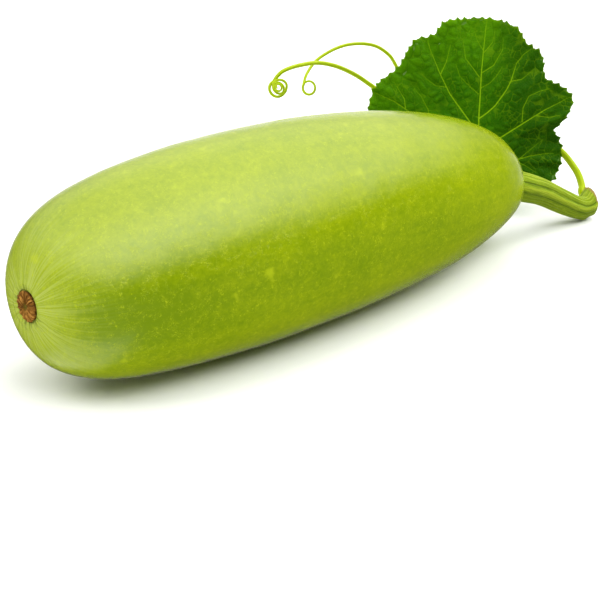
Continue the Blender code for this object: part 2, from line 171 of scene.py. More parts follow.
# Tapers of the tendrils: share of the length from the base, and radius as a share of the base's.
LONG_TAPER = (
    (0, 1.0), (0.30, 1.0), (0.51, 0.947), (0.68, 0.867), (0.77, 0.747), (0.80, 0.567), (0.90, 0.48), (1, 0.367),
)
SHORT_TAPER = ((0, 1.0), (0.50, 0.917), (0.72, 0.79), (0.85, 0.667), (1, 0.54))
STEM_STEP, STALK_STEP, TENDRIL_STEP = 0.00036, 0.0005, 0.0004  # from one ring to the next

# Studio lights far off: name, turn from the front towards the right, height angle and width in degrees, strength.
FAR_LIGHTS = (
    ("overhead_light", 180, 86, 60, 1.40),
    ("front_light_left", -35, 52, 30, 0.20),
    ("front_light", 5, 52, 30, 0.86),
    ("front_light_right", 40, 50, 30, 0.75),
    ("right_light", 82, 24, 34, 2.20),
    ("high_right_light", 100, 60, 40, 0.50),
    ("rear_light", 160, 18, 30, 0.60),
    ("rear_light_left", -130, 45, 40, 1.20),
    ("left_light", -95, 40, 40, 0.50),
    ("low_left_light", -85, 8, 22, 0.60),
)
CAMERA_TARGET = (-0.0689, -0.072, 0.05)
FLOOR_HALF_SIDE, FLOOR_DROP = 6.0, 0.0001

# Colours that no setting holds.
# Painted shade where the folds meet the scar.
PUCKER_SHADE_GREEN = (0.045, 0.075, 0.006)
# Painted shade between the folds of the scar.
CORK_SHADE = (0.040, 0.016, 0.007)
CUT_WOOD = (0.62, 0.56, 0.30)
# Painted shade on the right half of the leaf and on its folded lower right lobe.
LEAF_SHADE = (0.008, 0.052, 0.0005)


# ---- Settings ----


def colour(name, description, value):
    return FloatVectorProperty(
        name=name, description=description, default=value, size=3, min=0, max=1, subtype="COLOR"
    )


def length(name, description, value):
    return FloatProperty(name=name, description=description, default=value, min=0, unit="LENGTH")


def share(name, description, value):
    return FloatProperty(name=name, description=description, default=value, min=0, max=1, subtype="FACTOR")


class FruitSettings(bpy.types.PropertyGroup):
    length: length("Length", "Length of the fruit's middle line", 0.3297)
    radius: length("Radius", "Radius that the blunted sine is scaled by", 0.0533)
    lump: length("Lumps", "Height of the slow unevenness of the skin", 0.0007)
    crease: length("Creases", "Depth of the folds that run into the scar", 0.00030)
    roughness: share("Roughness", "Roughness of the downy skin", 0.17)
    light: colour("Light green", "Paler blotches of the skin", (0.345, 0.420, 0.002))
    # The deep green also serves as painted shade on the front flank and in the folds at the scar.
    deep: colour("Deep green", "Deeper blotches of the skin", (0.152, 0.242, 0.0003))
    pale: colour("Pale green", "Skin round the scar and its streaks", (0.410, 0.480, 0.110))
    down: colour("Down", "Fine hairs and flecks", (0.480, 0.555, 0.010))


class ScarSettings(bpy.types.PropertyGroup):
    radius: length("Radius", "Radius of the corky disc", 0.0074)
    proud: length("Proud", "How far the disc stands out of its pocket", 0.0009)
    fold: length("Folds", "Height of the dried folds", 0.0010)
    folds: IntProperty(name="Fold count", description="Number of folds round the disc", default=15, min=3, max=24)
    cork: colour("Cork", "Dry cork", (0.190, 0.080, 0.016))
    crest: colour("Crest", "Worn edges of the folds", (0.440, 0.210, 0.050))
    pith: colour("Heart", "Olive spot at the middle", (0.120, 0.110, 0.015))


class StemSettings(bpy.types.PropertyGroup):
    rib: length("Ribs", "Height of the tallest rib", 0.00038)
    roughness: share("Roughness", "Roughness of the stem", 0.50)
    ridge: colour("Ridge", "Pale crests of the ribs", (0.355, 0.440, 0.028))
    flank: colour("Flank", "Green between crest and groove", (0.170, 0.255, 0.004))
    # The groove colour serves as painted shade in the grooves and on the lower front side, and also for dark threads.
    groove: colour("Groove", "Dark grooves", (0.075, 0.135, 0.002))
    rim: colour("Rim", "Dried rim of the cut", (0.330, 0.200, 0.070))


class LeafSettings(bpy.types.PropertyGroup):
    thickness: length("Thickness", "Thickness of the blade near its base", 0.0009)
    tooth: length("Teeth", "Height of the largest teeth", 0.0026)
    pitch: length("Tooth spacing", "Distance from one large tooth to the next", 0.0052)
    puff: length("Puff", "How far the blade rises between its veins", 0.0009)
    roughness: share("Roughness", "Roughness of the blade", 0.42)
    deep: colour("Deep green", "Middle of the blade", (0.017, 0.092, 0.0002))
    # The light green also paints highlight on the bulges between the small veins.
    light: colour("Light green", "Margin and bulges of the blade", (0.074, 0.225, 0.0008))
    vein: colour("Veins", "Main veins", (0.210, 0.390, 0.005))
    back: colour("Back", "Paler underside", (0.110, 0.220, 0.045))


class ShootSettings(bpy.types.PropertyGroup):
    stalk_base: length("Stalk, base", "Radius of the leaf stalk at the node", 0.0022)
    stalk_tip: share("Stalk, tip", "Radius of the leaf stalk at the blade, as a share of its base", 0.77)
    long_base: length("Long tendril, base", "Radius of the long tendril where it starts", 0.0015)
    short_base: length("Short tendril, base", "Radius of the short tendril where it starts", 0.0012)
    roughness: share("Roughness", "Roughness of the shoots", 0.40)
    green: colour("Green", "Body of the shoots", (0.325, 0.430, 0.004))
    ridge: colour("Ridge", "Paler ridges along the shoots", (0.440, 0.545, 0.030))


class StageSettings(bpy.types.PropertyGroup):
    floor: colour("Floor", "Pale floor", (0.955, 0.955, 0.955))
    bounce: colour("Bounce", "Colour of the light that the floor throws back onto the gourd", (0.93, 0.93, 0.60))
    haze: colour("Sky colour", "Colour of the even light all round", (1.0, 1.0, 0.95))
    sky: FloatProperty(name="Sky", description="Strength of the even light all round", default=0.05, min=0)
    softbox: FloatProperty(name="Softbox", description="Strength of what shows in the gloss", default=1.1, min=0)
    lights: FloatProperty(name="Lights", description="Strength of the far lights, as a share", default=1.0, min=0)
    azimuth: FloatProperty(
        name="Azimuth", description="Camera's turn round the gourd", default=math.radians(-41.36), subtype="ANGLE"
    )
    elevation: FloatProperty(
        name="Elevation", description="Camera's height angle", default=math.radians(22.94), subtype="ANGLE"
    )
    distance: length("Distance", "From the camera to its target", 0.7821)
    view: FloatProperty(
        name="Field of view", description="Camera's field of view", default=math.radians(20), subtype="ANGLE"
    )


# ---- Shape helpers ----


def unit(vectors):
    return vectors / np.linalg.norm(vectors, axis=-1, keepdims=True)


def eased(value, low, high):
    """0 below the low value, 1 above the high one, and smooth between."""
    t = np.clip((value - low) / (high - low), 0, 1)
    return t * t * (3 - 2 * t)


def bell(value, width):
    """1 where the value is 0, falling away on both sides as a Gaussian of this width."""
    return np.exp(-((value / width) ** 2))


def run_along(points):
    """Distance along a line of points, from the first."""
    return np.concatenate([[0], np.cumsum(np.linalg.norm(np.diff(points, axis=0), axis=1))])


def ring_angles(sides):
    """Even angles round a ring, as a row."""
    return np.linspace(0, 2 * math.pi, sides, endpoint=False)[None, :]


def round_and_along(angle, along):
    """Coordinates for a pattern on a tube, without a seam: cosine and sine of the angle, and the place along it."""
    return np.stack([*np.broadcast_arrays(np.cos(angle), np.sin(angle), along)], axis=-1)


def spokes_across(angle, side, top):
    """Unit vectors round each place of a path, at these angles from its side vector to its top one."""
    return np.cos(angle)[..., None] * side[:, None] + np.sin(angle)[..., None] * top[:, None]


def smooth_path(route, spacing):
    """Even points on a Catmull-Rom curve through the route's own points."""
    route = np.asarray(route, float)
    ends = np.vstack([2 * route[0] - route[1], route, 2 * route[-1] - route[-2]])
    a, b, c, d = (ends[n : len(ends) - 3 + n, None, :] for n in range(4))
    t = np.linspace(0, 1, 40, endpoint=False)[None, :, None]
    fine = 0.5 * (2 * b + (c - a) * t + (2 * a - 5 * b + 4 * c - d) * t**2 + (3 * b - 3 * c + d - a) * t**3)
    fine = np.vstack([fine.reshape(-1, 3), route[-1:]])
    run = run_along(fine)
    even = np.linspace(0, run[-1], max(2, round(run[-1] / spacing)) + 1)
    return np.stack([np.interp(even, run, fine[:, axis]) for axis in range(3)], axis=1)


def travelling_frames(directions):
    """A side and a top vector across each direction in turn, turning as little as they can from straight up."""
    side = np.array((0.0, 0.0, 1.0))
    sides = np.empty_like(directions)
    for n, direction in enumerate(directions):
        side = unit(side - (side @ direction) * direction)
        sides[n] = side
    return sides, np.cross(directions, sides)


def lattice_noise(points, scale, seed):
    """Smooth values from -1 to 1: seeded values on a cubic lattice, eased between the eight nearest."""
    table = np.random.default_rng(seed).uniform(-1, 1, (32, 32, 32))
    cell = np.floor(points * scale)
    t = eased(points * scale - cell, 0, 1)
    cell = cell.astype(int)
    total = np.zeros(points.shape[:-1])
    for corner in np.ndindex(2, 2, 2):
        weight = np.prod(np.where(corner, t, 1 - t), axis=-1)
        total += weight * table[tuple(np.moveaxis((cell + corner) % 32, -1, 0))]
    return total


def add_surface(name, rings, first_pole, last_pole, channels, sharp):
    """One closed surface from rings (stations x sides x 3), with a point closing each end.

    Each channel is an array over the rings, with its value at the two poles taken from the nearest ring. Edges that
    bend by more than the sharp angle, in degrees, are shaded as creases.
    """
    stations, sides = rings.shape[:2]
    points = np.vstack([[first_pole], rings.reshape(-1, 3), [last_pole]])
    i = np.arange(sides)
    j = (i + 1) % sides
    row = 1 + np.arange(stations - 1)[:, None] * sides
    quads = np.stack([row + i, row + j, row + sides + j, row + sides + i], axis=-1).reshape(-1, 4)
    last = len(points) - 1
    first_fan = np.stack([np.zeros_like(i), 1 + j, 1 + i], axis=1)
    last_fan = np.stack([last - sides + i, last - sides + j, np.full_like(i, last)], axis=1)
    halves = np.vstack([quads[:, :3], quads[:, [0, 2, 3]], first_fan, last_fan])
    if np.linalg.det(points[halves] - points.mean(axis=0)).sum() < 0:
        quads, first_fan, last_fan = quads[:, ::-1], first_fan[:, ::-1], last_fan[:, ::-1]
    corners = np.concatenate([quads.ravel(), first_fan.ravel(), last_fan.ravel()])
    sizes = np.concatenate([np.full(len(quads), 4), np.full(2 * sides, 3)])
    mesh = bpy.data.meshes.new(name)
    mesh.vertices.add(len(points))
    mesh.vertices.foreach_set("co", points.astype(np.float32).ravel())
    mesh.loops.add(len(corners))
    mesh.loops.foreach_set("vertex_index", corners.astype(np.int32))
    mesh.polygons.add(len(sizes))
    mesh.polygons.foreach_set("loop_start", (np.cumsum(sizes) - sizes).astype(np.int32))
    mesh.update(calc_edges=True)
    for channel, values in channels.items():
        vector = values.ndim == 3
        flat = values.reshape(-1, 3) if vector else values.ravel()
        flat = np.concatenate([flat[:1], flat, flat[-1:]]).astype(np.float32)
        made = mesh.attributes.new(channel, "FLOAT_VECTOR" if vector else "FLOAT", "POINT")
        made.data.foreach_set("vector" if vector else "value", flat.ravel())
    mesh.shade_smooth()
    mesh.set_sharp_from_angle(angle=math.radians(sharp))
    obj = bpy.data.objects.new(name, mesh)
    bpy.context.scene.collection.objects.link(obj)
    return obj


def build(name, surface, sharp, material, node_name):
    """Adds a piece's surface, gives it its material, hangs it on the body and hides the part of the frame it stands
    for.
    """
    piece = add_surface(name, *surface, sharp)
    piece.data.materials.append(material)
    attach(piece, BODY)
    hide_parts(node_name)


# ---- Material helpers ----


class Nodes:
    """A tree of shader nodes, and short ways to add to it."""

    def __init__(self, tree):
        self.tree = tree

    def add(self, kind, inputs=(), **settings):
        """A node with its settings. An input takes a value, or another node's output."""
        made = self.tree.nodes.new(kind)
        for key, value in settings.items():
            setattr(made, key, value)
        for key, value in dict(inputs).items():
            if isinstance(value, bpy.types.NodeSocket):
                self.tree.links.new(value, made.inputs[key])
            else:
                made.inputs[key].default_value = value
        return made

    def channel(self, name, output="Fac"):
        """What the mesh holds under this name."""
        return self.add("ShaderNodeAttribute", attribute_name=name).outputs[output]

    def noise(self, vector, scale, detail=3.0, roughness=0.55, distortion=0.0):
        inputs = {"Vector": vector, "Scale": scale, "Detail": detail, "Roughness": roughness}
        return self.add("ShaderNodeTexNoise", {**inputs, "Distortion": distortion}).outputs["Fac"]

    def cells(self, vector, scale, feature="F1", flat=False):
        """Distance to the nearest of scattered points, or to the edge between two."""
        made = self.add("ShaderNodeTexVoronoi", voronoi_dimensions="2D" if flat else "3D", feature=feature)
        self.tree.links.new(vector, made.inputs["Vector"])
        made.inputs["Scale"].default_value = scale
        return made.outputs["Distance"]

    def between(self, value, low, high, start=0.0, end=1.0):
        """The value's share of the way from low to high, eased, and mapped onto start to end."""
        inputs = {"Value": value, "From Min": low, "From Max": high, "To Min": start, "To Max": end}
        return self.add("ShaderNodeMapRange", inputs, interpolation_type="SMOOTHSTEP").outputs["Result"]

    def maths(self, operation, first, second=0.0):
        return self.add("ShaderNodeMath", {0: first, 1: second}, operation=operation).outputs[0]

    def times(self, first, second):
        return self.maths("MULTIPLY", first, second)

    def plus(self, total, *others):
        for other in others:
            total = self.maths("ADD", total, other)
        return total

    def mix(self, factor, first, second):
        """Colour first where the factor is 0, and second where it is 1."""
        first, second = (c if isinstance(c, bpy.types.NodeSocket) else (*c, 1.0) for c in (first, second))
        return self.add("ShaderNodeMix", {0: factor, 6: first, 7: second}, data_type="RGBA").outputs[2]

    def over(self, base, *layers):
        """The base colour with others laid over it in turn: (colour, where it is, how much it covers there)."""
        for top, where, most in layers:
            base = self.mix(self.times(where, most), base, top)
        return base

    def ridge(self, value, width):
        """1 where a noise value is near its middle, 0 further off: thin winding lines."""
        off = self.maths("ABSOLUTE", self.maths("SUBTRACT", value, 0.5))
        return self.between(off, 0.0, width, 1.0, 0.0)


class Finish(Nodes):
    """A material with its Principled shader."""

    def __init__(self, name, roughness):
        self.material = bpy.data.materials.new(name)
        self.material.use_nodes = True
        super().__init__(self.material.node_tree)
        self.shader = self.tree.nodes["Principled BSDF"]
        self.shader.inputs["Roughness"].default_value = roughness
        self.place = self.add("ShaderNodeTexCoord").outputs["Object"]

    def colour(self, output):
        self.tree.links.new(output, self.shader.inputs["Base Color"])

    def bump(self, layers):
        """Bump from (height, distance) layers, coarse to fine."""
        normal = None
        for height, distance in layers:
            made = self.add("ShaderNodeBump", {"Height": height, "Distance": distance, "Strength": 1.0})
            if normal is not None:
                self.tree.links.new(normal, made.inputs["Normal"])
            normal = made.outputs["Normal"]
        self.tree.links.new(normal, self.shader.inputs["Normal"])

    def gloss(self, level, tint=(1.0, 1.0, 1.0)):
        self.shader.inputs["Specular IOR Level"].default_value = level
        self.shader.inputs["Specular Tint"].default_value = (*tint, 1.0)

    def glow_through(self, weight, depth, share_by_colour):
        """Light that enters and leaves again nearby, up to the depth in metres."""
        self.shader.inputs["Subsurface Weight"].default_value = weight
        self.shader.inputs["Subsurface Radius"].default_value = share_by_colour
        self.shader.inputs["Subsurface Scale"].default_value = depth

    def sheen(self, weight, roughness, tint):
        self.shader.inputs["Sheen Weight"].default_value = weight
        self.shader.inputs["Sheen Roughness"].default_value = roughness
        self.shader.inputs["Sheen Tint"].default_value = (*tint, 1.0)


# ---- Fruit ----


def fruit_radius(settings, turn):
    """Radius of the fruit: a sine raised to a power that eases from end to end, times a short cosine series."""
    along = (1 - np.cos(turn)) / 2
    bluntness = BLOSSOM_BLUNTNESS * (1 - along) + STEM_BLUNTNESS * along
    waves = 1 + sum(size * np.cos((n + 1) * turn) for n, size in enumerate(RADIUS_WAVES))
    return settings.radius * np.maximum(np.sin(turn), 0) ** bluntness * waves


def middle_height(turn):
    """Height of the middle line above its own two ends: it arches up, tilts down and drops close to the stem."""
    along = -np.cos(turn)
    return AXIS_ARCH * (1 - along**2) + AXIS_TILT * along / 2 + STEM_END_SHIFT[1] * np.maximum(along, 0) ** 14


def fruit_axis(settings, turn):
    """Points on the middle line of the fruit, lifted so that the belly reaches a little below the surface."""
    along = -np.cos(turn)
    whole = np.linspace(0, math.pi, 721)
    lowest = np.min(middle_height(whole) - fruit_radius(settings, whole) * HEIGHT_TO_WIDTH)
    y = AXIS_SWEEP * along**2 + STEM_END_SHIFT[0] * np.maximum(along, 0) ** 14
    return np.stack([settings.length / 2 * along, y, middle_height(turn) - lowest - BELLY_FLATTENING], axis=-1)


def turn_at_radius(settings, radius, from_stem):
    """Where along the fruit its radius has grown to this, counted from one of its ends."""
    turn = np.linspace(0, 0.6, 3001)
    grown = fruit_radius(settings, math.pi - turn if from_stem else turn)
    found = float(np.interp(radius, grown, turn))
    return math.pi - found if from_stem else found


def scar_mouth(context):
    """Centre of the pocket's mouth, which the scar sits in, and the turn there."""
    fruit = context.scene.gourd_fruit
    turn = turn_at_radius(fruit, context.scene.gourd_scar.radius + 3 * GAP, False)
    return fruit_axis(fruit, np.array([turn]))[0], turn


def stem_seat(context):
    """Centre of the flat that the stem grows from, and the turn there."""
    fruit = context.scene.gourd_fruit
    turn = turn_at_radius(fruit, STEM_SEAT_RADIUS, True)
    return fruit_axis(fruit, np.array([turn]))[0], turn


def crease_lines(run, angle, radius):
    """Folds that run into the scar: narrow dips at seeded angles, each fading out at its own distance.

    Returns their depth, which the skin also shows as painted shade in the folds, the pale streaks beside them and the
    painted shade of the puckers at the scar's edge, all from 0 to 1.
    """
    rng = np.random.default_rng(7)
    weak = tuple(zip(*(rng.uniform(*limits, WEAK_CREASES) for limits in ((0, 360), (0.15, 0.5), (8, 26)))))
    depth, streak, pucker_shade = (np.zeros(np.broadcast(run, angle).shape) for _ in range(3))
    for degrees, strength, reach in SCAR_CREASES + weak:
        bend = rng.uniform(-5, 5)
        centre = np.radians(degrees) + bend * run
        off = (angle - centre + math.pi) % (2 * math.pi) - math.pi
        sideways = off * radius
        width = 0.0005 + 0.013 * run
        fade = bell(run, reach / 1000)
        depth += strength * fade * bell(sideways, width)
        streak += strength * fade * bell(sideways - 1.3 * width, 0.9 * width)
        pucker_shade += strength * bell(sideways, 0.0005) * bell(run, 0.0022)
    return np.minimum(depth, 1.3), np.minimum(streak, 1.2), np.minimum(pucker_shade, 1.0)


def fruit_surface(context, stations=296, sides=324):
    """Rings of the skin: the turned body moved along its own normal by slow lumps and by the folds at the scar.

    A short pocket comes first, the belly is pressed flat where it lies, and the seat of the stem comes last.
    """
    settings, scar = context.scene.gourd_fruit, context.scene.gourd_scar
    mouth, first = scar_mouth(context)
    seat, last = stem_seat(context)
    fine = np.linspace(first, last, 4000)
    steps = np.hypot(
        np.linalg.norm(np.diff(fruit_axis(settings, fine), axis=0), axis=1), np.diff(fruit_radius(settings, fine))
    )
    run = np.concatenate([[0], np.cumsum(steps)])
    crowding = np.concatenate([[0], np.cumsum(steps * (1 + 1.8 * np.exp(-run[1:] / 0.025)))])
    chosen = np.interp(np.linspace(0, crowding[-1], stations), crowding, fine)
    run = np.interp(chosen, fine, run)[:, None]
    angle = ring_angles(sides)
    radius = fruit_radius(settings, chosen)[:, None]
    across = np.stack([0 * angle, np.cos(angle), HEIGHT_TO_WIDTH * np.sin(angle)], axis=-1)
    skin = fruit_axis(settings, chosen)[:, None, :] + radius[..., None] * across
    lengthways = np.gradient(skin, axis=0)
    crossways = (np.roll(skin, -1, axis=1) - np.roll(skin, 1, axis=1)) / 2
    normal = unit(np.cross(crossways, lengthways))
    normal *= np.sign((normal * across).sum(axis=-1).mean())
    depth, streak, pucker_shade = crease_lines(run, angle, radius)
    lumps = 0.7 * lattice_noise(skin, 22, 3) + 0.3 * lattice_noise(skin, 55, 4) + 0.12 * lattice_noise(skin, 140, 5)
    calm = eased(run, 0.004, 0.03) * eased(run[-1] - run, 0.0, 0.02)
    pout = 0.0005 * np.exp(-((run - 0.0022) ** 2) / 0.0016**2) * eased(run, 0, 0.0006)
    move = settings.lump * lumps * calm + pout - settings.crease * depth * eased(run, 0.0, 0.0015)
    skin = skin + move[..., None] * normal
    inward = np.array((1.0, 0.0, 0.0))
    # Rings of the pocket: radius past the scar's own, and depth.
    wall = scar.radius + np.array((-0.004, 1.8 * GAP, 2 * GAP, 2.3 * GAP))
    level = POCKET_DEPTH * np.array((1.0, 1.0, 0.75, 0.2))
    pocket = mouth + level[:, None, None] * inward + wall[:, None, None] * (across * (1, 1, 1 / HEIGHT_TO_WIDTH))
    rings = np.concatenate([pocket, skin])
    rings[..., 2] = np.maximum(rings[..., 2], 0)

    def padded(values):
        values = np.broadcast_to(values, skin.shape[:2] + values.shape[2:])
        return np.concatenate([np.repeat(values[:1], len(wall), axis=0), values])

    flow = round_and_along(angle, 1.4 * run)
    # Painted shade along the front flank, the side where little light falls, fading out towards both ends.
    flank = bell(angle - SHADED_FLANK_MIDDLE, SHADED_FLANK_WIDTH) * (0.62 + 0.55 * bell(run - SHADED_FLANK_DEEPEST, 0.03))
    channels = {
        "flow": padded(flow),
        "scar_near": padded(np.exp(-((run / 0.022) ** 1.6))),
        "flank": padded(flank * eased(run, 0.010, 0.035) * eased(run[-1] - run, 0.02, 0.13)),
        "stem_near": padded(np.exp(-(((run[-1] - run) / 0.016) ** 1.5))),
        "streak": padded(streak),
        # The folds and their puckers also carry painted shade into the skin's colour.
        "crease": padded(depth),
        "pucker_shade": padded(pucker_shade),
    }
    return rings, mouth + POCKET_DEPTH * inward, seat, channels


def fruit_finish(settings):
    """Downy skin, with painted shade along its front flank, where little light falls.

    Slow blotches, smaller patches, streaks from end to end and grain add up to how light the green is, and painted
    shade lowers it on the front flank. Over it come the pale skin at the scar, painted shade in the folds and where
    they meet the scar, and then fine hairs, flecks and a few soft spots.
    """
    skin = Finish("fruit_skin", settings.roughness)
    place, flow = skin.place, skin.channel("flow", "Vector")
    blotch = skin.between(skin.noise(place, 24, 3.0, 0.5), 0.36, 0.66)
    patch = skin.between(skin.noise(place, 105, 4.0, 0.66), 0.36, 0.68)
    long_streak = skin.between(skin.noise(flow, 9, 3.0, 0.55), 0.35, 0.68)
    fine_streak = skin.between(skin.noise(flow, 34, 2.0, 0.5), 0.40, 0.66)
    grain = skin.noise(place, 900, 3.0, 0.65)
    light = skin.plus(
        skin.between(blotch, 0.0, 1.0, 0.28, 0.38),
        skin.times(patch, 0.11),
        skin.times(long_streak, 0.12),
        skin.between(grain, 0.34, 0.68, -0.02, 0.20),
        skin.between(skin.noise(place, 330, 3.0, 0.6), 0.34, 0.68, -0.03, 0.14),
        # Painted shade: the front flank is pushed towards the deep green.
        skin.times(skin.channel("flank"), -0.60),
    )
    green = skin.mix(light, settings.deep, settings.light)
    pallor = skin.times(skin.channel("scar_near"), skin.between(fine_streak, 0.0, 1.0, 0.35, 1.0))
    green = skin.mix(pallor, green, settings.pale)
    curl = skin.ridge(skin.noise(place, 480, 1.0, 0.5, 1.8), 0.040)
    hair = skin.times(curl, skin.between(skin.noise(place, 300, 2.0), 0.44, 0.58))
    fleck = skin.between(skin.cells(place, 230), 0.04, 0.11, 1.0, 0.0)
    sparse = skin.between(skin.noise(place, 60, 2.0), 0.50, 0.62)
    spot = skin.between(skin.noise(place, 95, 2.0, 0.5), 0.66, 0.80)
    green = skin.over(
        green,
        (settings.pale, skin.channel("streak"), 0.40),
        # Painted shade in the folds, and darker painted shade where they meet the scar.
        (settings.deep, skin.channel("crease"), 0.16),
        (PUCKER_SHADE_GREEN, skin.channel("pucker_shade"), 0.60),
        (settings.pale, skin.channel("stem_near"), 0.35),
        (settings.down, hair, 0.60),
        (settings.down, skin.times(fleck, sparse), 0.50),
        (settings.down, spot, 0.45),
    )
    skin.colour(green)
    skin.bump([(skin.noise(place, 240, 3.0), 0.00006), (hair, 0.00003), (grain, 0.00006)])
    skin.gloss(0.50)
    return skin.material


class GOURD_OT_fruit(bpy.types.Operator):
    """The whole fruit, with its scar's pocket and its flattened belly"""

    bl_idname = "gourd.fruit"
    bl_label = "Fruit"

    def execute(self, context):
        material = fruit_finish(context.scene.gourd_fruit)
        build("gourd_skin", fruit_surface(context), 35, material, "fruit")
        return {"FINISHED"}


# ---- Blossom scar ----


def scar_surface(context, stations=64, sides=240):
    """A corky disc with a lobed edge and a flat back: a low dome plus a sawtooth of dried folds round it."""
    settings = context.scene.gourd_scar
    mouth, _ = scar_mouth(context)
    angle = ring_angles(sides)
    t = np.linspace(0, 1, stations)[:, None]
    front = np.minimum(t / DOME_END, 1)
    side = np.clip((t - DOME_END) / (SIDE_END - DOME_END), 0, 1)
    behind = np.clip((t - SIDE_END) / (1 - SIDE_END), 0, 1)
    rng = np.random.default_rng(11)
    count = settings.folds
    wander = 0.55 * np.sin(2 * angle + 1.1) + 0.40 * np.sin(3 * angle + 0.4) + 0.25 * np.sin(5 * angle)
    twist = 0.5 * (1 - front) * np.sin(angle * 3 + 2) + 0.18 * np.sin(6 * front + 2 * angle)
    phase = (angle * count / (2 * math.pi) + wander + twist) % count
    fold = np.floor(phase).astype(int) % count
    within = phase % 1.0
    heights = rng.uniform(0.55, 1.0, count)[fold]
    saw = heights * (within**0.7) * (1 - eased(within, 0.86, 1.0)) * 1.2
    lobe = 1 + 0.035 * np.sin(count * angle + 1.0) + 0.05 * (heights - 0.78) + 0.02 * np.sin(17 * angle + 0.6)
    reach = settings.radius * lobe * (front * (1 - 0.06 * side) - 0.75 * behind)
    edge = np.minimum(reach, settings.radius + 1.4 * GAP)
    spot = np.stack([0 * edge, edge * np.cos(angle), edge * np.sin(angle)], axis=-1)
    crumbs = lattice_noise(spot, 900, 12) + 0.6 * lattice_noise(spot, 2200, 13)
    dome = settings.proud * (1 - 0.55 * front**4) - SCAR_DIP * bell(front, 0.16)
    relief = settings.fold * (saw - 0.35) * eased(front, 0.10, 0.35) * (1 - 0.35 * eased(front, 0.75, 1.0))
    relief += 0.00012 * crumbs * eased(front, 0.0, 0.2)
    low = -(POCKET_DEPTH - GAP)
    height = (dome + relief) * (1 - side) + low * side
    rings = mouth + spot - np.stack([height, 0 * height, 0 * height], axis=-1)
    middle = mouth - np.array((settings.proud - SCAR_DIP, 0, 0))
    channels = {
        "crest": np.broadcast_to(saw, height.shape) * eased(front, 0.08, 0.3) + 0.15 * crumbs,
        "heart": bell(front, 0.22) * np.ones_like(height),
        "around": round_and_along(angle, 0.35 * front),
    }
    return rings[1:], middle, rings[-1].mean(axis=0), {name: values[1:] for name, values in channels.items()}


def scar_finish(settings):
    """Dry cork: painted shade between the folds, paler tan along their crests, olive at the heart, with fibres out
    from it.
    """
    cork = Finish("scar_cork", 0.85)
    crest = cork.channel("crest")
    fibre = cork.noise(cork.channel("around", "Vector"), 16, 4.0, 0.65)
    crumb = cork.noise(cork.place, 1500, 4.0, 0.7)
    # Painted shade between the folds: near-black mottled into the cork where the crests are low.
    dark = cork.mix(cork.between(crumb, 0.35, 0.65), CORK_SHADE, settings.cork)
    brown = cork.mix(cork.between(cork.plus(crest, fibre), 0.35, 0.95), dark, settings.cork)
    worn = cork.between(cork.plus(crest, cork.times(crumb, 0.8)), 0.90, 1.30)
    brown = cork.over(
        cork.mix(worn, brown, settings.crest),
        (settings.crest, cork.between(fibre, 0.52, 0.70), 0.45),
        (settings.pith, cork.channel("heart"), 0.80),
    )
    cork.colour(brown)
    cork.bump([(fibre, 0.0003), (crumb, 0.0002)])
    cork.gloss(0.06)
    return cork.material


class GOURD_OT_scar(bpy.types.Operator):
    """The corky scar where the flower was"""

    bl_idname = "gourd.scar"
    bl_label = "Blossom scar"

    def execute(self, context):
        material = scar_finish(context.scene.gourd_scar)
        build("gourd_scar", scar_surface(context), 60, material, "blossom_scar")
        return {"FINISHED"}


# ---- Stem ----


def rib_height(angle):
    """Height of the ribs round the stem: eased steps between the listed crests and grooves."""
    table = np.array(STEM_RIBS_AND_SHADE, float)
    degrees = np.concatenate([table[-1:, 0] - 360, table[:, 0], table[:1, 0] + 360])
    heights = np.concatenate([table[-1:, 1], table[:, 1], table[:1, 1]])
    at = np.degrees(angle) % 360
    k = np.clip(np.searchsorted(degrees, at, side="right") - 1, 0, len(degrees) - 2)
    t = eased(at, degrees[k], degrees[k + 1])
    return heights[k] * (1 - t) + heights[k + 1] * t


